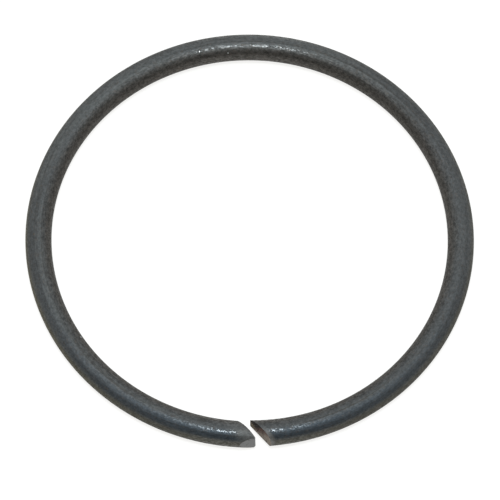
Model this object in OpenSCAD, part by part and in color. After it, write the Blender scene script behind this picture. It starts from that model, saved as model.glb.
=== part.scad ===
// Round-wire retaining ring for a groove in a shaft. One length of round spring wire is coiled and
// then sheared at a slant, so that its two ends almost meet.
// Millimetres. +Z is the ring's axis, the origin is the centre of the ring at mid-height of the wire,
// and the gap lies on -Y. Seen from above, the end left of the gap has its long tip on the outside of
// the ring and the end right of the gap has its long tip on the inside.

/* [Wire] */
// Diameter of the round wire
wire_d = 2.5; // [1.6:0.1:3.2]

/* [Ring] */
// Inside diameter of the ring as it lies free
inside_d = 37.8; // [30:0.1:60]
// Gap between the two cut faces, along the middle of the wire
end_gap = 1.31; // [0.6:0.01:3]

/* [Cut faces] */
// Angle between each cut face and the wire, seen from above
cut_angle = 51; // [40:1:65]
// Lean of both cut faces, whose tops lie further to +X than their feet
cut_lean = 5; // [0:1:10]
// Height of the broken zone at the foot of each cut face, where the shear let go
fracture_height = 0.7; // [0.1:0.01:0.9]
// Slope of the broken zone away from the cut face
fracture_angle = 42; // [5:1:50]

/* [Blunted tip] */
// Slope of the flat that takes the sharp outer tip down, against the wire
flat_angle = 13; // [8:1:30]
// Lean of the flat, which takes more off the top of the tip than off its foot
flat_lean = 9; // [0:1:20]
// Where the flat starts, measured back along the wire from the sharp tip
flat_start = 1.6; // [0.5:0.05:2.5]

/* [Hidden] */
wire_r = wire_d / 2;
mean_r = inside_d / 2 + wire_r;
slit_width = end_gap * sin(cut_angle);
fracture_top = fracture_height - wire_r;
// Distance along the wire between the middle of a cut face and its sharp tip
tip_length = wire_r / tan(cut_angle);
// Cutters reach this far past the wire
reach = wire_d;
steel = "#4b5052";
$fn = 96;

// The coiled wire before it is sheared, a closed ring
module closed_ring()
    rotate_extrude($fn = 240)
        translate([mean_r, 0])
            circle(d = wire_d);

// What the shear takes out between the two cut faces. Both leaning sides run parallel down to the
// broken zone, where the slit spreads to both sides.
module shear_slit() {
    top = wire_r + reach;
    foot = -wire_r - reach;
    half = slit_width / 2;
    spread = half + (fracture_top - foot) * tan(fracture_angle);
    outline = [[-half, top], [-half, fracture_top], [-spread, foot],
               [spread, foot], [half, fracture_top], [half, top]];
    leaning_outline = [for (corner = outline) [corner[0] + corner[1] * tan(cut_lean), corner[1]]];
    translate([0, -mean_r, 0])
        rotate([90, 0, 90 - cut_angle])
            linear_extrude(2 * (wire_d + reach), center = true)
                polygon(leaning_outline);
}

// What is ground off the sharp outer tip of the end left of the gap. It stops in the middle of the
// gap.
module tip_cutter() {
    length = (flat_start + end_gap / 2) * sin(cut_angle) / sin(cut_angle + flat_angle);
    heel_x = tip_length - end_gap / 2 - flat_start;
    translate([heel_x, -mean_r - wire_r, 0])
        rotate([0, 0, flat_angle])
            rotate([-flat_lean, 0, 0])
                translate([-reach, -2 * reach, -reach])
                    cube([reach + length, 2 * reach, 2 * reach]);
}

// The whole ring, one piece of wire
module retaining_ring()
    color(steel)
        difference() {
            closed_ring();
            shear_slit();
            tip_cutter();
        }

retaining_ring();
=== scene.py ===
"""Dresses a round-wire retaining ring and sets it in a plain studio.

The ring is one length of round spring wire with a dark phosphate finish. It is coiled, sheared at a
slant and blunted at its outer tip, so that its two ends almost meet.

Places are in metres. The ring's axis is +Z, its centre is the origin, and its gap is on -Y. An angle
round the ring starts at the gap and runs counter-clockwise seen from above. A place in the wire's
section is given by how far it is out from the middle of the wire, and how far it is up.
"""

from __future__ import annotations

import logging
import math
from dataclasses import dataclass, field
from enum import Enum
from functools import reduce
from typing import Any

import bpy
import numpy as np
from mathutils import Matrix, Vector

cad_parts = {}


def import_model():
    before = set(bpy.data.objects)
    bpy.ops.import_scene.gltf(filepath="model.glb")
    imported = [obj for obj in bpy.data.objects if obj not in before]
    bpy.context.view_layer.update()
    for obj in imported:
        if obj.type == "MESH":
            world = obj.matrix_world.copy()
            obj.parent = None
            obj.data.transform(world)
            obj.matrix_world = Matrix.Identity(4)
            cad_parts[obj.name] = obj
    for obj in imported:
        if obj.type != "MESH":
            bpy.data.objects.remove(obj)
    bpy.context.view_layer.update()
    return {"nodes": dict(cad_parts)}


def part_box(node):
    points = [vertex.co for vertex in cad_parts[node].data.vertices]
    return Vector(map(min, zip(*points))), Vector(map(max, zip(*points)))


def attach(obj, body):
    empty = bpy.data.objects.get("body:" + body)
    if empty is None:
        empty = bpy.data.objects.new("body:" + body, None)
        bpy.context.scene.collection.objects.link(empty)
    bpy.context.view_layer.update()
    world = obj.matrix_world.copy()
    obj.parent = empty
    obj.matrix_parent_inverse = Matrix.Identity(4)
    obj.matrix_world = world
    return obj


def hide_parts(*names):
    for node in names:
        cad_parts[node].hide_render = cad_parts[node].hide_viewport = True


MM = 0.001
NODE = "retaining_ring"
PLACE_NAME = "place_on_wire"
SCUFF_NAME = "scuffed"
NODE_SPACING = 190
log = logging.getLogger("retaining_ring")

Colour = tuple[float, float, float]
Rates = tuple[float, float, float]
Span = tuple[float, float]
Faces = list[tuple[int, ...]]
Pair = tuple[Any, Any]
Array = np.ndarray
Group = bpy.types.ShaderNodeTree
Material = bpy.types.Material
Socket = bpy.types.NodeSocket
Sockets = dict[str, Socket]


class End(Enum):
    """The wire's two ends. The value is the way from the gap along the ring into the wire."""

    INNER_TIP = 1
    OUTER_TIP = -1


class Zone(Enum):
    """What a patch of the ring's surface is. The value is its material slot."""

    WIRE = 0
    SHEARED = 1
    GROUND = 2


def opaque(colour: Colour) -> tuple[float, float, float, float]:
    """Gives a colour the fourth number that a shader socket wants."""
    return (*colour, 1.0)


class NodeSheet:
    """Adds nodes to a shader tree, one beside the other, and links them."""

    def __init__(self, tree: bpy.types.NodeTree) -> None:
        """Starts on an empty tree.

        Args:
            tree: The tree that gets the nodes. What it holds is cleared.
        """
        self.tree = tree
        self.tree.nodes.clear()
        self.column = 0

    def add(self, kind: str, values: dict[Any, Any] | None = None, **settings: Any) -> bpy.types.Node:
        """Adds one node.

        Args:
            kind: Blender's name for the kind of node.
            values: For each input, by name or number, a value, a colour of three numbers or the
                socket that feeds it.
            **settings: The node's own settings.

        Returns:
            The node.
        """
        node = self.tree.nodes.new(kind)
        node.location = (NODE_SPACING * self.column, 0)
        self.column += 1
        for name, value in settings.items():
            setattr(node, name, value)
        for name, value in (values or {}).items():
            socket = node.inputs[name]
            if isinstance(value, Socket):
                self.tree.links.new(value, socket)
            else:
                socket.default_value = opaque(value) if socket.type == "RGBA" else value
        return node

    def use(self, group: Group, values: dict[str, Any]) -> Sockets:
        """Places a node group with values for its inputs and returns its outputs by name."""
        node = self.add("ShaderNodeGroup", values, node_tree=group)
        return {socket.name: socket for socket in node.outputs}

    def reckon(self, operation: str, first: Any, second: Any = 0.0) -> Socket:
        """Adds a Math node and returns its result."""
        return self.add("ShaderNodeMath", {0: first, 1: second}, operation=operation).outputs[0]

    def times(self, *factors: Any) -> Socket:
        """Multiplies values or sockets."""
        return reduce(lambda product, factor: self.reckon("MULTIPLY", product, factor), factors)

    def spread(
        self, value: Socket, span: Pair, unit: float | None = None, ends: Pair = (0.0, 1.0)
    ) -> Socket:
        """Maps a span smoothly to the one between two ends, and holds it beyond.

        Args:
            value: The socket to map.
            span: The values or sockets that become the first and the second end.
            unit: What the span's numbers are multiplied by.
            ends: The two ends, as values or sockets.

        Returns:
            The mapped socket.
        """
        low, high = span if unit is None else (edge * unit for edge in span)
        values = {"Value": value, "From Min": low, "From Max": high}
        values |= {"To Min": ends[0], "To Max": ends[1]}
        return self.add("ShaderNodeMapRange", values, interpolation_type="SMOOTHSTEP").outputs[0]

    def stretch(self, place: Socket, amount: Any) -> Socket:
        """Multiplies a place by a number for each direction."""
        ends = {0: place, 1: amount}
        return self.add("ShaderNodeVectorMath", ends, operation="MULTIPLY").outputs[0]

    def tint(self, factor: Any, first: Any, second: Any, way: str = "MIX") -> Socket:
        """Lays a second colour over a first, as much as the factor from 0 to 1 says."""
        values = {0: factor, 6: first, 7: second}
        return self.add("ShaderNodeMix", values, data_type="RGBA", blend_type=way).outputs[2]


class SurfaceEffects:
    """The effects that the finishes share, each a node group that is built once."""

    def __init__(self) -> None:
        """Builds the groups."""
        self.grain = self._grain()
        self.lines = self._lines()
        self.clouds = self._clouds()
        self.chip = self._chip()

    @staticmethod
    def _start(
        name: str, usual: dict[str, Any], outputs: list[str]
    ) -> tuple[Group, NodeSheet, Sockets]:
        """Starts a node group that works on a place.

        Args:
            name: The group's name.
            usual: Its other inputs, numbers or vectors, with their usual values.
            outputs: Names of the outputs, each a number.

        Returns:
            The group, a sheet to add nodes on and the group's inputs by name.
        """
        group = bpy.data.node_groups.new(name, "ShaderNodeTree")
        group.interface.new_socket("Place", in_out="INPUT", socket_type="NodeSocketVector")
        for title, value in usual.items():
            kind = "NodeSocketVector" if isinstance(value, tuple) else "NodeSocketFloat"
            socket = group.interface.new_socket(title, in_out="INPUT", socket_type=kind)
            socket.default_value = value
        for title in outputs:
            group.interface.new_socket(title, in_out="OUTPUT", socket_type="NodeSocketFloat")
        sheet = NodeSheet(group)
        given = sheet.add("NodeGroupInput")
        return group, sheet, {socket.name: socket for socket in given.outputs}

    def _grain(self) -> Group:
        """Builds the fine crystals of a phosphate coat.

        Returns:
            A group with the crystals' height, their light and dark speckle, a mask of the rusty ones
            and a mask of those that lie flat and glint.
        """
        usual = {"Crystals Per Millimetre": 13.0, "Stretch": (0.7, 1.0, 1.0)}
        outputs = ["Height", "Speckle", "Rust", "Glints"]
        group, sheet, given = self._start("Crystal grain", usual, outputs)
        place = sheet.stretch(given["Place"], given["Stretch"])
        rust_from_speckle = (31.0, 7.0, 13.0)
        mottles_per_crystal = 0.3
        facet_height = 0.35
        ends = {0: place, 1: rust_from_speckle}
        beside = sheet.add("ShaderNodeVectorMath", ends, operation="ADD").outputs[0]
        density = given["Crystals Per Millimetre"]
        coarse = sheet.times(density, mottles_per_crystal)
        mottled = {"Scale": coarse, "Detail": 4.0, "Roughness": 0.85}
        speckle = sheet.add("ShaderNodeTexNoise", {"Vector": place, **mottled})
        rust = sheet.add("ShaderNodeTexNoise", {"Vector": beside, **mottled})
        soft = sheet.add("ShaderNodeTexNoise", {"Vector": place, "Scale": density, "Detail": 2.0})
        cells = sheet.add("ShaderNodeTexVoronoi", {"Vector": place, "Scale": density})
        facets = sheet.times(cells.outputs["Distance"], facet_height)
        lie = sheet.add("ShaderNodeSeparateXYZ", {0: cells.outputs["Color"]}).outputs["X"]
        found = {
            "Height": sheet.reckon("ADD", soft.outputs[0], facets),
            "Speckle": speckle.outputs[0],
            "Rust": sheet.spread(rust.outputs[0], (0.5, 0.75)),
            "Glints": sheet.spread(lie, (0.35, 0.95)),
        }
        sheet.add("NodeGroupOutput", found)
        return group

    def _lines(self) -> Group:
        """Builds the fine lines that a die, a shear or a grinding wheel leaves.

        Returns:
            A group with the lines' height and a mask of the deep ones.
        """
        usual = {"Lines Per Millimetre": (0.1, 5.0, 5.0)}
        group, sheet, given = self._start("Drawn lines", usual, ["Height", "Deep Lines"])
        stretched = sheet.stretch(given["Place"], given["Lines Per Millimetre"])
        texture = {"Vector": stretched, "Scale": 1.0, "Detail": 3.0, "Roughness": 0.6}
        noise = sheet.add("ShaderNodeTexNoise", texture)
        deep = sheet.spread(noise.outputs[0], (0.52, 0.68))
        sheet.add("NodeGroupOutput", {"Height": noise.outputs[0], "Deep Lines": deep})
        return group

    def _chip(self) -> Group:
        """Builds one small spot where the coat has chipped off.

        Returns:
            A group with a mask of the spot.
        """
        usual = {"Middle": (0.0, 0.0, 0.0), "Size": 0.1}
        group, sheet, given = self._start("Chipped spot", usual, ["Spot"])
        ends = {0: given["Place"], 1: given["Middle"]}
        away = sheet.add("ShaderNodeVectorMath", ends, operation="DISTANCE").outputs["Value"]
        core = sheet.times(given["Size"], 0.5)
        sheet.add("NodeGroupOutput", {"Spot": sheet.spread(away, (given["Size"], core))})
        return group

    def _clouds(self) -> Group:
        """Builds soft patches, for tarnish, oil and worn places.

        Returns:
            A group with a mask of the patches.
        """
        usual = {"Patches Per Millimetre": (0.3, 0.6, 0.6), "Bare Below": 0.4, "Full Above": 0.65}
        group, sheet, given = self._start("Cloudy patches", usual, ["Patches"])
        stretched = sheet.stretch(given["Place"], given["Patches Per Millimetre"])
        noise = sheet.add("ShaderNodeTexNoise", {"Vector": stretched, "Scale": 1.0, "Detail": 4.0})
        patches = sheet.spread(noise.outputs[0], (given["Bare Below"], given["Full Above"]))
        sheet.add("NodeGroupOutput", {"Patches": patches})
        return group


@dataclass(frozen=True)
class Texture:
    """The lines, patches and crystals of a finish, by their numbers in a millimetre.

    Lines and patches have a number for each direction: along the wire, outwards and up. The height
    is in metres.
    """

    lines: Rates
    patches: Rates
    crystals: float
    height: float
    patch_span: Span = (0.4, 0.65)
    crystal_stretch: Rates = (0.7, 1.0, 1.0)


class FinishSheet(NodeSheet):
    """A sheet for the material of one finish, which knows the place on the wire in millimetres."""

    def __init__(self, name: str, shown: Colour, texture: Texture, effects: SurfaceEffects) -> None:
        """Starts the material and lays its texture.

        Args:
            name: The material's name.
            shown: Its colour in Blender's plain view.
            texture: The texture.
            effects: The shared effects.
        """
        self.material = bpy.data.materials.new(name)
        self.material.use_nodes = True
        self.material.diffuse_color = opaque(shown)
        super().__init__(self.material.node_tree)
        self.place = self.add("ShaderNodeAttribute", attribute_name=PLACE_NAME).outputs["Vector"]
        self.along, self.out, self.up = self.add("ShaderNodeSeparateXYZ", {0: self.place}).outputs
        below, above = texture.patch_span
        span = {"Bare Below": below, "Full Above": above}
        clouds = self.mark(effects.clouds, {"Patches Per Millimetre": texture.patches, **span})
        lines = self.mark(effects.lines, {"Lines Per Millimetre": texture.lines})
        crystals = {"Crystals Per Millimetre": texture.crystals, "Stretch": texture.crystal_stretch}
        grain = self.mark(effects.grain, crystals)
        self.marks = {**clouds, **lines, **grain}
        height = self.reckon("ADD", lines["Height"], grain["Height"])
        relief = {"Height": height, "Distance": texture.height, "Strength": 1.0}
        self.bump = self.add("ShaderNodeBump", relief)

    def mark(self, group: Group, values: dict[str, Any]) -> Sockets:
        """Places a node group that works on the place on the wire."""
        return self.use(group, {"Place": self.place, **values})

    def end(self, values: dict[str, Any]) -> Material:
        """Finishes the material with its shader.

        Args:
            values: The shader's inputs by name, but for the normal.

        Returns:
            The material.
        """
        shader = self.add("ShaderNodeBsdfPrincipled", {**values, "Normal": self.bump.outputs[0]})
        self.add("ShaderNodeOutputMaterial", {"Surface": shader.outputs[0]})
        return self.material


@dataclass(frozen=True)
class Chip:
    """A spot of bare metal: its place on the unrolled wire and its size, in millimetres."""

    along: float
    out: float
    up: float
    size: float


@dataclass(frozen=True)
class PhosphatedWire:
    """The dark grey phosphate coat on the drawn wire, with a trace of oil.

    Lengths are in millimetres. A span across the wire is in shares of its radius, outwards or up, and
    one along it is in shares of its length, from the inner tip.
    """

    radius: float
    length: float
    texture: Texture = Texture(
        lines=(0.05, 7.0, 7.0), patches=(0.06, 1.2, 1.2), crystals=13.0, height=0.012 * MM
    )

    # The coat, browner on the inside of the ring and more olive on its outside
    coat: Colour = (0.090, 0.093, 0.092)
    thin_coat: Colour = (0.120, 0.124, 0.120)
    browned: Colour = (0.086, 0.079, 0.070)
    browned_out: Span = (-0.1, -0.8)
    olive: Colour = (0.088, 0.084, 0.068)
    olive_out: Span = (0.65, 1.0)

    # The stain on the rim of the left half
    stained: Colour = (0.104, 0.092, 0.052)
    stained_around: float = 0.75
    stained_reach: float = 0.2
    stained_out: Span = (0.85, 1.0)
    stained_up: Span = (-0.3, 0.1)

    # The blue tinge by the gap, where the wire faces this turn from upright to outwards
    blued: Colour = (0.059, 0.072, 0.084)
    blued_from_gap: float = 32.0
    blued_turn: float = math.radians(31.0)
    blued_facing: Span = (0.84, 0.99)

    # Wear, rust and the crystals' light and dark
    rubbed: Colour = (0.046, 0.043, 0.038)
    rubbed_depth: float = 0.5
    rust: Colour = (0.105, 0.084, 0.068)
    rust_depth: float = 0.8
    scuffed: Colour = (0.20, 0.195, 0.185)
    dulled_by: float = 0.35
    speckle: float = 0.3
    speckle_inside: float = 0.25
    speckle_span: Span = (0.3, 0.7)
    speckle_out: Span = (-0.1, -0.5)
    chipped: Colour = (0.85, 0.85, 0.83)
    chips: tuple[Chip, ...] = (
        Chip(67.87, -0.41, 1.18, 0.075),
        Chip(65.07, -0.90, 0.87, 0.07),
        Chip(106.35, -0.96, 0.81, 0.08),
    )

    # The shine, and the oil that lies in patches at both ends and on the far side
    metal: float = 0.7
    edge_tint: Colour = (0.50, 0.50, 0.50)
    roughness: float = 0.6
    glint_roughness: float = 0.29
    oil: float = 0.75
    oil_roughness: float = 0.23
    oiled_far: float = 0.85
    oiled_between: float = 0.45
    oiled_reach: Span = (1 / 50, 1 / 15)

    def coating(self, sheet: FinishSheet) -> Socket:
        """Lays the coat's own tints, with the stain on the upper rim of the left half.

        Args:
            sheet: The material's sheet.

        Returns:
            The colour.
        """
        colour = sheet.tint(sheet.marks["Patches"], self.coat, self.thin_coat)
        inside = sheet.spread(sheet.out, self.browned_out, self.radius)
        colour = sheet.tint(inside, colour, self.browned)
        outside = sheet.spread(sheet.out, self.olive_out, self.radius)
        colour = sheet.tint(outside, colour, self.olive)
        from_left = sheet.reckon("SUBTRACT", sheet.along, self.stained_around * self.length)
        reach = (self.stained_reach, 0.0)
        on_left = sheet.spread(sheet.reckon("ABSOLUTE", from_left), reach, self.length)
        rim = sheet.spread(sheet.out, self.stained_out, self.radius)
        above = sheet.spread(sheet.up, self.stained_up, self.radius)
        return sheet.tint(sheet.times(on_left, rim, above), colour, self.stained)

    def bluing(self, sheet: FinishSheet) -> Socket:
        """Marks the blue tinge on the upper outside of the wire by the gap.

        Args:
            sheet: The material's sheet.

        Returns:
            A mask of the tinge.
        """
        middle = self.length / 2
        from_middle = sheet.reckon("ABSOLUTE", sheet.reckon("SUBTRACT", sheet.along, middle))
        near_gap = sheet.spread(from_middle, (middle - self.blued_from_gap, middle))
        outward = sheet.times(sheet.out, math.sin(self.blued_turn) / self.radius)
        upward = sheet.times(sheet.up, math.cos(self.blued_turn) / self.radius)
        facing = sheet.spread(sheet.reckon("ADD", outward, upward), self.blued_facing)
        return sheet.times(near_gap, facing)

    def shade(self, sheet: FinishSheet) -> Socket:
        """Gives the light and dark of the crystals, which is stronger on the inside of the ring.

        Args:
            sheet: The material's sheet.

        Returns:
            What to multiply the colour by.
        """
        inside = sheet.spread(sheet.out, self.speckle_out, self.radius)
        depth = sheet.reckon("ADD", sheet.times(inside, self.speckle_inside), self.speckle)
        darkest = sheet.reckon("SUBTRACT", 1.0, depth)
        lightest = sheet.reckon("ADD", 1.0, depth)
        ends = (darkest, lightest)
        return sheet.spread(sheet.marks["Speckle"], self.speckle_span, ends=ends)

    def colour(self, sheet: FinishSheet, scuffs: Socket, clean: Socket) -> Socket:
        """Lays the coat's colours over each other.

        Args:
            sheet: The material's sheet.
            scuffs: A mask of the scuffs.
            clean: A mask of what they leave.

        Returns:
            The colour.
        """
        colour = self.coating(sheet)
        layers = (
            (sheet.times(self.bluing(sheet), clean), self.blued),
            (sheet.times(sheet.marks["Deep Lines"], self.rubbed_depth), self.rubbed),
            (sheet.times(sheet.marks["Rust"], self.rust_depth), self.rust),
            (scuffs, self.scuffed),
        )
        for mask, shown in layers:
            colour = sheet.tint(mask, colour, shown)
        return sheet.tint(1.0, colour, self.shade(sheet), "MULTIPLY")

    def oiled(self, sheet: FinishSheet) -> Socket:
        """Says how much oil lies along the wire, most of it at the outer tip.

        Args:
            sheet: The material's sheet.

        Returns:
            The share of the oil.
        """
        to_tip = sheet.spread(sheet.along, (0.5, 1.0), self.length, (self.oiled_far, 1.0))
        from_patch = sheet.reckon("PINGPONG", sheet.along, self.length / 4)
        patch = sheet.spread(from_patch, self.oiled_reach, self.length, (1.0, self.oiled_between))
        return sheet.times(to_tip, patch)

    def material(self, effects: SurfaceEffects) -> Material:
        """Builds the material.

        Args:
            effects: The shared effects.

        Returns:
            The material.
        """
        sheet = FinishSheet("Phosphated wire", self.coat, self.texture, effects)
        scuffs = sheet.add("ShaderNodeAttribute", attribute_name=SCUFF_NAME).outputs["Fac"]
        clean = sheet.spread(scuffs, (0.0, self.dulled_by), ends=(1.0, 0.0))
        colour = self.colour(sheet, scuffs, clean)
        for chip in self.chips:
            place = {"Middle": (chip.along, chip.out, chip.up), "Size": chip.size}
            colour = sheet.tint(sheet.mark(effects.chip, place)["Spot"], colour, self.chipped)
        shine = sheet.times(sheet.marks["Glints"], self.oiled(sheet), clean)
        rough = sheet.spread(shine, (0.0, 1.0), ends=(self.roughness, self.glint_roughness))
        values = {
            "Base Color": colour,
            "Metallic": self.metal,
            "Specular Tint": self.edge_tint,
            "Roughness": rough,
            "Coat Weight": sheet.times(shine, self.oil),
            "Coat Roughness": self.oil_roughness,
        }
        return sheet.end(values)


@dataclass(frozen=True)
class ShearedFace:
    """The bare cut face, tarnished brown, with near-black painted shade over its top.

    A light tan along its lower edge is part bare steel and part painted reflection of the floor. The
    tarnish fades over spans of height, in shares of the wire's radius. Its borders slant by so much
    height for each millimetre outwards, and drift by so many millimetres.
    """

    radius: float
    texture: Texture = Texture(
        lines=(4.0, 4.0, 0.7),
        patches=(1.6, 1.6, 1.0),
        crystals=10.0,
        height=0.006 * MM,
        patch_span=(0.35, 0.7),
        crystal_stretch=(1.0, 1.0, 1.0),
    )
    drift: float = 0.4
    # Painted shade: near-black over the top of the face. The dark shear streaks take the same colour.
    shade_and_streak_dark: Colour = (0.028, 0.021, 0.017)
    painted_shade_slant: float = 2.0
    painted_shade_span: Span = (1.15, 0.8)
    maroon: Colour = (0.19, 0.115, 0.095)
    # A light tan along the lower edge, part bare steel and part painted reflection of the floor
    tan: Colour = (0.53, 0.45, 0.375)
    tan_slant: float = 0.9
    tan_span: Span = (0.6, -0.3)
    streak_depth: float = 0.75
    tip: Colour = (0.30, 0.25, 0.18)
    tip_out: Span = (-0.2, -0.5)
    tip_up: Span = (0.3, 0.0)
    shine: float = 0.12
    roughness: float = 0.65

    def colour(self, sheet: FinishSheet) -> Socket:
        """Fades from painted shade over maroon tarnish to a tan of bare steel and painted reflection,
        with a greyer tip.

        Args:
            sheet: The material's sheet.

        Returns:
            The colour.
        """
        drift = sheet.times(sheet.reckon("SUBTRACT", sheet.marks["Patches"], 0.5), self.drift)
        height = sheet.reckon("ADD", sheet.up, drift)
        # Painted shade: near-black above a slanted border, with the maroon tarnish below it
        slant = sheet.times(sheet.out, self.painted_shade_slant)
        shade_height = sheet.reckon("SUBTRACT", height, slant)
        tarnish = sheet.spread(shade_height, self.painted_shade_span, self.radius)
        colour = sheet.tint(tarnish, self.shade_and_streak_dark, self.maroon)
        # Tan along the lower edge: part bare steel, part painted reflection of the floor
        from_edge = sheet.reckon("SUBTRACT", height, sheet.times(sheet.out, self.tan_slant))
        bare_and_reflected_tan = sheet.spread(from_edge, self.tan_span, self.radius)
        colour = sheet.tint(bare_and_reflected_tan, colour, self.tan)
        # Dark shear streaks in the tarnish, in the same near-black as the painted shade
        streaks = sheet.times(tarnish, sheet.marks["Deep Lines"], self.streak_depth)
        colour = sheet.tint(streaks, colour, self.shade_and_streak_dark)
        at_tip = sheet.spread(sheet.out, self.tip_out, self.radius)
        lower_half = sheet.spread(height, self.tip_up, self.radius)
        return sheet.tint(sheet.times(at_tip, lower_half), colour, self.tip)

    def material(self, effects: SurfaceEffects) -> Material:
        """Builds the material.

        Args:
            effects: The shared effects.

        Returns:
            The material.
        """
        sheet = FinishSheet("Sheared face", self.maroon, self.texture, effects)
        values = {
            "Base Color": self.colour(sheet),
            "Roughness": self.roughness,
            "Specular IOR Level": self.shine,
        }
        return sheet.end(values)


@dataclass(frozen=True)
class GroundTip:
    """The flat that blunts the outer tip, evenly grey with fine grinding lines."""

    texture: Texture = Texture(
        lines=(0.8, 7.0, 7.0),
        patches=(1.8, 1.8, 1.8),
        crystals=11.0,
        height=0.003 * MM,
        patch_span=(0.55, 0.7),
    )
    grey: Colour = (0.23, 0.23, 0.228)
    dark: Colour = (0.07, 0.068, 0.066)
    metal: float = 0.6
    roughness: float = 0.55

    def material(self, effects: SurfaceEffects) -> Material:
        """Builds the material.

        Args:
            effects: The shared effects.

        Returns:
            The material.
        """
        sheet = FinishSheet("Ground tip", self.grey, self.texture, effects)
        colour = sheet.tint(sheet.marks["Patches"], self.grey, self.dark)
        values = {"Base Color": colour, "Metallic": self.metal, "Roughness": self.roughness}
        return sheet.end(values)


def blunt(first: Array, second: Array, radius: Array | float) -> Array:
    """Gives the distance outside what lies inside two surfaces, with a radius at the corner."""
    corner = np.hypot(np.maximum(first + radius, 0.0), np.maximum(second + radius, 0.0))
    return np.minimum(-radius, np.maximum(first, second)) + corner


@dataclass(frozen=True)
class EndForm:
    """What differs between the ends: three lengths in metres, and how full the scuffs are."""

    stray: float
    rollover: float
    scuff_reach: float
    scuff_depth: float


@dataclass
class RingWire:
    """The ring: one swept wire with its sheared ends, as a single mesh."""

    wire_radius: float
    mean_radius: float
    end_gap: float = 1.31 * MM
    cut_angle: float = math.radians(51.0)
    cut_lean: float = math.radians(5.0)
    fracture_height: float = 0.7 * MM
    fracture_angle: float = math.radians(42.0)
    flat_angle: float = math.radians(13.0)
    flat_lean: float = math.radians(9.0)
    flat_start: float = 1.6 * MM
    stub_shift: float = 0.1 * MM
    ends: dict[End, EndForm] = field(
        default_factory=lambda: {
            End.OUTER_TIP: EndForm(0.075 * MM, 0.1 * MM, 1.7 * MM, 0.35),
            End.INNER_TIP: EndForm(-0.04 * MM, 0.04 * MM, 0.45 * MM, 1.0),
        }
    )
    stray_span: float = math.radians(45.0)
    near_gap: float = math.radians(10.0)

    # The edges' rounding, and the height in radii from which and over which the rims' roll grows
    edge_round: float = 0.02 * MM
    rolled_from: float = 0.3
    rolled_over: float = 0.4
    rolled_below: float = 0.012 * MM

    # How steeply the scuffs fade away from the cut, and their share in the middle of the wire
    scuff_slope: float = 1.5
    scuffed_middle: float = 0.3

    # How fine the mesh is
    fibres: int = 96
    station_pitch: float = 0.34 * MM
    finest_pitch: float = 0.012 * MM
    pitch_growth: float = 1.3
    slant_fades_over: float = 8.0 * MM
    cut_columns: int = 26
    tip_columns: int = 12
    edge_samples: int = 900

    # The search for the fibres' ends, and the settling of points on the rounded edges
    search_span: Span = (-6 * MM, 8 * MM)
    halvings: int = 40
    same_place: float = 1e-9
    stations_beyond_fine: int = 3
    settle_rounds: int = 6
    probe_step: float = 1e-7
    least_steep: float = 0.25

    @property
    def sharp_tip(self) -> float:
        """Says where an end's sharp tip would be, along the wire from the middle of the gap."""
        return self.end_gap / 2 - self.wire_radius / math.tan(self.cut_angle)

    def stray(self, angle: Array) -> Array:
        """Says how far the coiled wire strays outwards from a true circle at an angle round it."""
        near = {end: 1 - np.abs(self.round_ring(end, angle)) / self.stray_span for end in End}
        return sum(form.stray * np.clip(near[end], 0, 1) ** 2 for end, form in self.ends.items())

    def place(self, angle: Array, out: Array, up: Array) -> Array:
        """Turns places on the wire into places in the frame, with x, y and z last."""
        radius = self.mean_radius + self.stray(angle) + out
        return np.stack([radius * np.sin(angle), -radius * np.cos(angle), up + 0 * radius], -1)

    def on_wire(self, points: Array) -> tuple[Array, Array, Array]:
        """Turns places in the frame into places on the wire.

        Args:
            points: Places, with x, y and z last.

        Returns:
            Angle round the ring, distance out and distance up. The middle of the slanted gap parts
            the two ends, so the angle starts a little below nought and ends past a full turn.
        """
        angle = np.arctan2(points[..., 0], -points[..., 1])
        past_gap = (
            math.sin(self.cut_angle) * points[..., 0]
            + math.cos(self.cut_angle) * (points[..., 1] + self.mean_radius)
            - math.tan(self.cut_lean) * points[..., 2]
        )
        on_last_half = np.where(np.abs(angle) < self.near_gap, past_gap, angle) < 0
        angle = np.where(on_last_half, angle + 2 * math.pi, angle)
        out = np.hypot(points[..., 0], points[..., 1]) - self.mean_radius - self.stray(angle)
        return angle, out, points[..., 2]

    @staticmethod
    def round_ring(end: End, angle: Array) -> Array:
        """Turns the angle from the gap at one end into the angle round the ring, and back."""
        return angle if end is End.INNER_TIP else 2 * math.pi - angle

    def cut_offset(self, end: End, up: Array) -> Array:
        """Says how far into the wire the lean and the broken zone move the cut at a height."""
        foot = np.maximum(self.fracture_height - self.wire_radius - up, 0)
        return end.value * math.tan(self.cut_lean) * up + math.tan(self.fracture_angle) * foot

    def end_distances(self, end: End, points: Array) -> tuple[Array, Array]:
        """Says how far places lie beyond the cut face and beyond the blunted tip of one end.

        Args:
            end: Which end.
            points: Places in the frame.

        Returns:
            Distance beyond each of the two, negative in the wire. The outer tip is blunted by the
            flat, and the inner tip ends square to the wire.
        """
        along = end.value * points[..., 0]
        tipward = end.value * (points[..., 1] + self.mean_radius)
        up = points[..., 2]
        from_gap = math.sin(self.cut_angle) * (along - self.end_gap / 2)
        square = from_gap + math.cos(self.cut_angle) * tipward
        if end is End.INNER_TIP:
            square += self.stub_shift * (1 + tipward / self.wire_radius) / 2
        broken = up < self.fracture_height - self.wire_radius
        cut = np.where(broken, math.cos(self.fracture_angle), 1.0) * (self.cut_offset(end, up) - square)
        if end is End.INNER_TIP:
            return cut, self.sharp_tip - along
        heel = self.sharp_tip + self.flat_start
        flat = (
            -math.sin(self.flat_angle) * (along - heel)
            + math.cos(self.flat_angle) * (tipward - self.wire_radius)
            + math.tan(self.flat_lean) * up
        )
        return cut, math.cos(self.flat_lean) * flat

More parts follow.
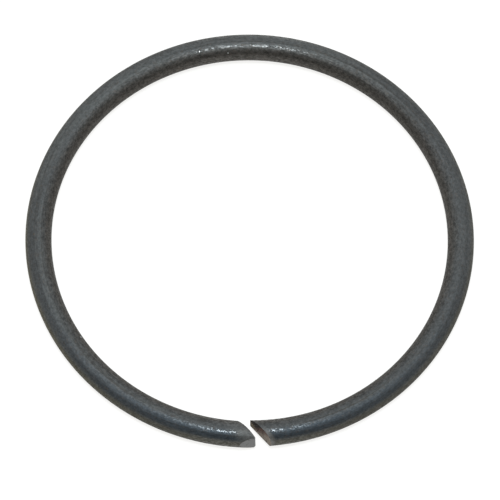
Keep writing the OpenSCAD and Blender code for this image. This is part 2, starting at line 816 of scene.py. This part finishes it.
    def distance(self, end: End, points: Array) -> Array:
        """Says how far places lie outside the wire near one end, with the rim of the cut rounded.

        Args:
            end: Which end.
            points: Places in the frame.

        Returns:
            Distance outside the rounded wire, negative inside.
        """
        _, out, up = self.on_wire(points)
        tube = np.hypot(out, up) - self.wire_radius
        top = np.clip((up / self.wire_radius - self.rolled_from) / self.rolled_over, 0, 1)
        radius = self.edge_round + (self.ends[end].rollover - self.edge_round) * top
        cut, flat = self.end_distances(end, points)
        return blunt(blunt(tube, cut, radius), flat, self.edge_round)

    def settle(self, end: End, points: Array) -> Array:
        """Moves points onto the rounded surface of one end.

        Args:
            end: Which end.
            points: Places close to the surface.

        Returns:
            The same places on the surface.
        """
        for _ in range(self.settle_rounds):
            here = self.distance(end, points)
            slope = np.zeros_like(points)
            for axis in range(3):
                ahead = points.copy()
                ahead[..., axis] += self.probe_step
                slope[..., axis] = (self.distance(end, ahead) - here) / self.probe_step
            steep = np.maximum((slope**2).sum(-1), self.least_steep)
            points = points - (here / steep)[..., None] * slope
        return points

    def end_angle(self, end: End, out: Array, up: Array) -> Array:
        """Finds where a fibre of the wire meets the faces of one end.

        Args:
            end: Which end.
            out: The fibre's distance out from the middle of the wire.
            up: Its distance up.

        Returns:
            Angles from the gap into the wire.
        """
        low, high = (np.full(np.shape(out), edge / self.mean_radius) for edge in self.search_span)
        for _ in range(self.halvings):
            middle = (low + high) / 2
            cut, flat = self.end_distances(end, self.place(self.round_ring(end, middle), out, up))
            beyond = np.maximum(cut, flat) > 0
            low = np.where(beyond, middle, low)
            high = np.where(beyond, high, middle)
        return (low + high) / 2

    def blunt_edge(self, end: End, up: Array) -> Array:
        """Finds the edge between the cut face and the blunted tip of one end.

        Args:
            end: Which end.
            up: Distances up from the middle of the wire.

        Returns:
            The edge's distance from the middle of the wire towards the tip's side, at each height.
        """
        square = self.cut_offset(end, up) + math.sin(self.cut_angle) * self.end_gap / 2
        if end is End.INNER_TIP:
            along = self.sharp_tip + 0 * square
            turned = math.cos(self.cut_angle) + self.stub_shift / (2 * self.wire_radius)
            tipward = (square - math.sin(self.cut_angle) * along - self.stub_shift / 2) / turned
        else:
            heel = self.sharp_tip + self.flat_start
            flat = (
                math.cos(self.flat_angle) * self.wire_radius
                - math.sin(self.flat_angle) * heel
                - math.tan(self.flat_lean) * up
            )
            between = math.sin(self.cut_angle + self.flat_angle)
            along = (math.cos(self.flat_angle) * square - math.cos(self.cut_angle) * flat) / between
            tipward = (math.sin(self.flat_angle) * square + math.sin(self.cut_angle) * flat) / between
        points = np.stack([end.value * along, end.value * tipward - self.mean_radius, up], -1)
        return -end.value * self.on_wire(points)[1]

    def section_turns(self) -> Array:
        """Chooses the fibres of the wire, as turns about its middle, starting on the outside.

        Returns:
            Turns in rising order. They mirror each other up and down and in and out, and some pass
            through the corners of the blunted tips and the top of the broken zone.
        """
        quarter = np.linspace(0, math.pi / 2, self.fibres // 4 + 1)
        corners = [math.asin(1 - self.fracture_height / self.wire_radius)]
        rising = self.wire_radius * np.sin(np.linspace(0, math.pi / 2, self.edge_samples))
        for end in (End.OUTER_TIP, End.INNER_TIP):
            for up in (rising, -rising):
                inside = np.hypot(self.blunt_edge(end, up), up) < self.wire_radius
                reached = abs(up[inside]).max(initial=0.0)
                corners.append(float(np.arcsin(reached / self.wire_radius)))
        for corner in corners:
            quarter[1 + np.argmin(np.abs(quarter[1:-1] - corner))] = corner
        half = np.concatenate([quarter, math.pi - quarter[-2::-1]])
        return np.concatenate([half, math.pi + half[1:-1]])

    def pitches(self) -> Array:
        """Chooses how far the first stations lie from an end.

        Returns:
            Distances along the wire, from nought, in steps that grow up to the even pitch.
        """
        steps = [0.0]
        pitch = self.finest_pitch
        while pitch < self.station_pitch:
            steps.append(steps[-1] + pitch)
            pitch *= self.pitch_growth
        return np.array(steps)

    def fibre_angles(self, turns: Array) -> Array:
        """Lays out the stations of every fibre, from the inner-tip end to the outer-tip end.

        Args:
            turns: The fibres.

        Returns:
            Angles round the ring, one row for each station and one column for each fibre.
        """
        out = self.wire_radius * np.cos(turns)
        up = self.wire_radius * np.sin(turns)
        rims = {end: self.end_angle(end, out, up) for end in End}
        start = rims[End.INNER_TIP].max()
        finish = 2 * math.pi - rims[End.OUTER_TIP].max()
        fine = self.pitches() / self.mean_radius
        middle = finish - start - 2 * fine[-1]
        even = np.linspace(0, middle, int(middle * self.mean_radius / self.station_pitch) + 1)[1:-1]
        from_start = np.concatenate([fine, fine[-1] + even, (finish - start) - fine[::-1]])
        from_finish = from_start[-1] - from_start
        span = self.slant_fades_over / self.mean_radius
        near_start = np.clip(1 - from_start / span, 0, 1) ** 2
        near_finish = np.clip(1 - from_finish / span, 0, 1) ** 2
        angles = start + from_start[:, None] + 0 * turns[None]
        angles += near_start[:, None] * (rims[End.INNER_TIP] - start)[None]
        angles -= near_finish[:, None] * (rims[End.OUTER_TIP] - (2 * math.pi - finish))[None]
        return angles

    def cap(
        self, end: End, turns: Array, rim: Array, first_new: int
    ) -> tuple[Array, Faces, list[Zone]]:
        """Fills one end with level rows of faces, which line up with the edge of the blunted tip.

        Args:
            end: Which end.
            turns: The fibres.
            rim: Numbers of the rim's points, one for each fibre.
            first_new: Number that the first new point gets.

        Returns:
            New points, faces as tuples of point numbers, and the zone of each face.
        """
        half = len(turns) // 2
        columns = self.cut_columns + self.tip_columns
        tip_zone = Zone.GROUND if end is End.OUTER_TIP else Zone.SHEARED
        rows = [[int(rim[half // 2])] * (columns + 1)]
        outs: list[float] = []
        ups: list[float] = []
        for level in range(half // 2 - 1, -half // 2, -1):
            outer, inner = level % len(turns), (half - level) % len(turns)
            tip, butt = (outer, inner) if end is End.OUTER_TIP else (inner, outer)
            width = self.wire_radius * math.cos(turns[outer])
            up = self.wire_radius * math.sin(turns[outer])
            offsets = self.cap_offsets(end, width, up)
            row = [int(rim[butt])]
            for offset in offsets[1:-1]:
                if offset > width - self.same_place:
                    row.append(int(rim[tip]))
                    continue
                row.append(first_new + len(outs))
                outs.append(-end.value * offset)
                ups.append(up)
            rows.append([*row, int(rim[tip])])
        rows.append([int(rim[-half // 2])] * (columns + 1))
        out, up = np.array(outs), np.array(ups)
        points = self.place(self.round_ring(end, self.end_angle(end, out, up)), out, up)
        faces: Faces = []
        zones: list[Zone] = []
        for upper, lower in zip(rows, rows[1:]):
            for column in range(columns):
                corners = (upper[column], upper[column + 1], lower[column + 1], lower[column])
                kept = tuple(dict.fromkeys(corners))
                if len(kept) > 2:
                    faces.append(kept)
                    zones.append(Zone.SHEARED if column < self.cut_columns else tip_zone)
        return points, faces, zones

    def cap_offsets(self, end: End, width: float, up: float) -> Array:
        """Spaces the columns of one row of a cap.

        Args:
            end: Which end.
            width: Half the row's width.
            up: The row's height.

        Returns:
            Offsets towards the sharp tip, from one side of the wire to the other.
        """
        brink = float(np.clip(self.blunt_edge(end, np.array(up)), -width, width))
        share = (1 - np.cos(np.pi * np.arange(self.cut_columns + 1) / self.cut_columns)) / 2
        cut_part = -width + (width + brink) * share
        share = (1 - np.cos(np.pi * np.arange(1, self.tip_columns + 1) / self.tip_columns)) / 2
        return np.concatenate([cut_part, brink + (width - brink) * share])

    def build(self) -> bpy.types.Object:
        """Builds the wire's mesh.

        Returns:
            The object, with its zones as material slots and its places on the wire as an attribute.
        """
        turns = self.section_turns()
        angles = self.fibre_angles(turns)
        stations, count = angles.shape
        out = self.wire_radius * np.cos(turns)[None] + 0 * angles
        up = self.wire_radius * np.sin(turns)[None] + 0 * angles
        points = self.place(angles, out, up).reshape(-1, 3)
        numbers = np.arange(stations * count).reshape(stations, count)
        beside = np.roll(numbers, -1, axis=1)
        sides = np.stack([numbers[:-1], numbers[1:], beside[1:], beside[:-1]], -1).reshape(-1, 4)
        faces = [tuple(int(number) for number in side) for side in sides]
        zones = [Zone.WIRE] * len(faces)
        near_rim = len(self.pitches()) + self.stations_beyond_fine
        for end in End:
            band = numbers[:near_rim] if end is End.INNER_TIP else numbers[-near_rim:]
            rim = numbers[0] if end is End.INNER_TIP else numbers[-1]
            new, cap_faces, cap_zones = self.cap(end, turns, rim, len(points))
            near = [*band.ravel(), *range(len(points), len(points) + len(new))]
            points = np.concatenate([points, new])
            points[near] = self.settle(end, points[near])
            faces += cap_faces
            zones += cap_zones
        zones = self.rolled_zones(points, faces, zones)
        mesh = bpy.data.meshes.new("ring_wire")
        mesh.from_pydata(points.tolist(), [], faces)
        mesh.polygons.foreach_set("material_index", [zone.value for zone in zones])
        mesh.polygons.foreach_set("use_smooth", [True] * len(faces))
        self.note_places(mesh, points)
        mesh.validate()
        mesh.update()
        ring = bpy.data.objects.new("ring_wire", mesh)
        bpy.context.scene.collection.objects.link(ring)
        return ring

    def rolled_zones(self, points: Array, faces: Faces, zones: list[Zone]) -> list[Zone]:
        """Gives the rolled-over rim of a cut to the cut's zone.

        Args:
            points: The mesh's points.
            faces: The mesh's faces.
            zones: The zone of each face so far.

        Returns:
            The zone of each face.
        """
        _, out, up = self.on_wire(points)
        sunk = np.hypot(out, up) < self.wire_radius - self.rolled_below
        for end in End:
            cut, flat = self.end_distances(end, points)
            sunk &= (cut > flat) | (points[:, 0] * end.value < 0)
        rolled = [zone is Zone.WIRE and all(sunk[list(face)]) for face, zone in zip(faces, zones)]
        return [Zone.SHEARED if roll else zone for roll, zone in zip(rolled, zones)]

    def note_places(self, mesh: bpy.types.Mesh, points: Array) -> None:
        """Notes each point's place on the unrolled wire, in millimetres, and how scuffed it is.

        Args:
            mesh: The ring's mesh.
            points: The mesh's points.
        """
        angle, out, up = self.on_wire(points)
        places = np.stack([angle * self.mean_radius, out, up], -1) / MM
        attribute = mesh.attributes.new(PLACE_NAME, "FLOAT_VECTOR", "POINT")
        attribute.data.foreach_set("vector", places.ravel())
        scuffs = np.zeros_like(angle)
        for end, form in self.ends.items():
            behind_cut = -self.end_distances(end, points)[0]
            near = np.clip(self.scuff_slope * (1 - behind_cut / form.scuff_reach), 0, 1)
            at_this_end = self.round_ring(end, angle) < self.stray_span
            scuffs = np.where(at_this_end, form.scuff_depth * near, scuffs)
        outside = np.clip(out / self.wire_radius + self.scuffed_middle, 0, 1)
        scuffs *= np.where(angle < math.pi, outside, 1.0)
        mesh.attributes.new(SCUFF_NAME, "FLOAT", "POINT").data.foreach_set("value", scuffs)

    def dress(self, ring: bpy.types.Object, effects: SurfaceEffects) -> None:
        """Gives each zone its finish.

        Args:
            ring: The built ring.
            effects: The shared effects.
        """
        radius = self.wire_radius / MM
        length = 2 * math.pi * self.mean_radius / MM
        finishes = {
            Zone.WIRE: PhosphatedWire(radius, length),
            Zone.SHEARED: ShearedFace(radius),
            Zone.GROUND: GroundTip(),
        }
        for zone in Zone:
            ring.data.materials.append(finishes[zone].material(effects))


@dataclass(frozen=True)
class Studio:
    """A pale floor, an overhead lamp, soft surroundings and the camera."""

    floor_level: float
    camera_elevation: float = math.radians(66.24)
    camera_azimuth: float = math.radians(-2.36)
    camera_roll: float = math.radians(1.25)
    camera_distance: float = 0.6952
    lens: float = 524.6
    aim_right: float = 0.055 * MM
    aim_down: float = 1.106 * MM
    floor_size: float = 6.0
    floor_colour: Colour = (0.25, 0.25, 0.245)
    floor_lift: float = 0.85
    floor_glow: Colour = (1.0, 0.995, 0.98)
    lamp_elevation: float = math.radians(81.5)
    lamp_azimuth: float = math.radians(-3.0)
    lamp_distance: float = 1.0
    lamp_radius: float = 0.1
    lamp_power: float = 5.0
    lamp_colour: Colour = (0.88, 0.96, 1.0)
    behind: Colour = (0.70, 0.735, 0.77)
    in_front: Colour = (0.065, 0.058, 0.052)
    in_front_above: Colour = (0.175, 0.165, 0.16)
    above_counts: float = 0.75
    sides_count: float = 0.25
    behind_span: Span = (0.1, 0.75)
    above_span: Span = (0.1, 0.9)

    def direction(self, azimuth: float, elevation: float) -> Vector:
        """Gives the way to an azimuth, which is 0 towards -Y and a quarter towards +X."""
        level = math.cos(elevation)
        return Vector((math.sin(azimuth) * level, -math.cos(azimuth) * level, math.sin(elevation)))

    def build_camera(self) -> None:
        """Sets the camera where the photograph was taken from."""
        data = bpy.data.cameras.new("camera")
        data.lens = self.lens
        camera = bpy.data.objects.new("camera", data)
        back = self.direction(self.camera_azimuth, self.camera_elevation)
        level = back.to_track_quat("Z", "Y").to_matrix()
        aim = level @ Vector((self.aim_right, -self.aim_down, 0.0))
        turn = level @ Matrix.Rotation(self.camera_roll, 3, "Z")
        camera.matrix_world = Matrix.Translation(aim + back * self.camera_distance) @ turn.to_4x4()
        bpy.context.scene.collection.objects.link(camera)
        bpy.context.scene.camera = camera

    def floor_material(self) -> Material:
        """Builds the floor's material, which looks white and keeps the ring's shadow.

        Returns:
            The material.
        """
        material = bpy.data.materials.new("Pale floor")
        material.use_nodes = True
        sheet = NodeSheet(material.node_tree)
        path = sheet.add("ShaderNodeLightPath")
        seen = sheet.reckon("MAXIMUM", path.outputs["Is Camera Ray"], path.outputs["Is Glossy Ray"])
        seen = sheet.reckon("MAXIMUM", seen, path.outputs["Is Transmission Ray"])
        lift = sheet.times(seen, self.floor_lift)
        glow = sheet.add("ShaderNodeEmission", {"Color": self.floor_glow, "Strength": lift})
        matt = sheet.add("ShaderNodeBsdfDiffuse", {"Color": self.floor_colour})
        both = sheet.add("ShaderNodeAddShader", {0: glow.outputs[0], 1: matt.outputs[0]})
        sheet.add("ShaderNodeOutputMaterial", {"Surface": both.outputs[0]})
        return material

    def build_floor(self) -> None:
        """Lays the floor."""
        half = self.floor_size / 2
        level = self.floor_level
        plan = ((-half, -half), (half, -half), (half, half), (-half, half))
        corners = [(*corner, level) for corner in plan]
        mesh = bpy.data.meshes.new("floor")
        mesh.from_pydata(corners, [], [(0, 1, 2, 3)])
        mesh.materials.append(self.floor_material())
        floor = bpy.data.objects.new("floor", mesh)
        bpy.context.scene.collection.objects.link(floor)

    def build_lamp(self) -> None:
        """Hangs the lamp almost straight above the ring."""
        data = bpy.data.lights.new("overhead_lamp", "AREA")
        data.shape = "DISK"
        data.size = 2 * self.lamp_radius
        data.energy = self.lamp_power
        data.color = self.lamp_colour
        lamp = bpy.data.objects.new("overhead_lamp", data)
        towards = self.direction(self.lamp_azimuth, self.lamp_elevation)
        turn = towards.to_track_quat("Z", "Y").to_matrix().to_4x4()
        lamp.matrix_world = Matrix.Translation(towards * self.lamp_distance) @ turn
        bpy.context.scene.collection.objects.link(lamp)

    def build_surroundings(self) -> None:
        """Lights the ring softly from above and behind, and leaves the camera's side dark."""
        world = bpy.data.worlds.new("surroundings")
        bpy.context.scene.world = world
        world.use_nodes = True
        sheet = NodeSheet(world.node_tree)
        towards = sheet.add("ShaderNodeTexCoord").outputs["Generated"]
        split = sheet.add("ShaderNodeSeparateXYZ", {0: towards})
        above = sheet.times(split.outputs["Z"], self.above_counts)
        sides = sheet.times(sheet.reckon("ABSOLUTE", split.outputs["X"]), self.sides_count)
        lit = sheet.reckon("ADD", sheet.reckon("ADD", above, split.outputs["Y"]), sides)
        height = sheet.spread(split.outputs["Z"], self.above_span)
        dim = sheet.tint(height, self.in_front, self.in_front_above)
        colour = sheet.tint(sheet.spread(lit, self.behind_span), dim, self.behind)
        background = sheet.add("ShaderNodeBackground", {"Color": colour, "Strength": 1.0})
        sheet.add("ShaderNodeOutputWorld", {"Surface": background.outputs[0]})

    def build(self) -> None:
        """Builds the whole studio."""
        self.build_camera()
        self.build_floor()
        self.build_lamp()
        self.build_surroundings()
        bpy.context.scene.view_settings.view_transform = "Standard"


def count_triangles(mesh: bpy.types.Mesh) -> int:
    """Counts the triangles that a mesh comes to."""
    return sum(len(face.vertices) - 2 for face in mesh.polygons)


def main() -> None:
    """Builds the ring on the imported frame, then the studio round it."""
    logging.basicConfig(level=logging.INFO, format="%(message)s")
    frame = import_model()
    log.info("frame: %d CAD part(s)", len(frame["nodes"]))
    low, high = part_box(NODE)
    wire_radius = (high[2] - low[2]) / 2
    mean_radius = (high[0] - low[0]) / 2 - wire_radius
    wire = RingWire(wire_radius=wire_radius, mean_radius=mean_radius)
    ring = wire.build()
    wire.dress(ring, SurfaceEffects())
    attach(ring, "root")
    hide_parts(NODE)
    log.info("%s: %d triangles", ring.name, count_triangles(ring.data))
    Studio(floor_level=low[2]).build()
    log.info("studio: floor, lamp, surroundings and camera")


if __name__ == "__main__":
    main()
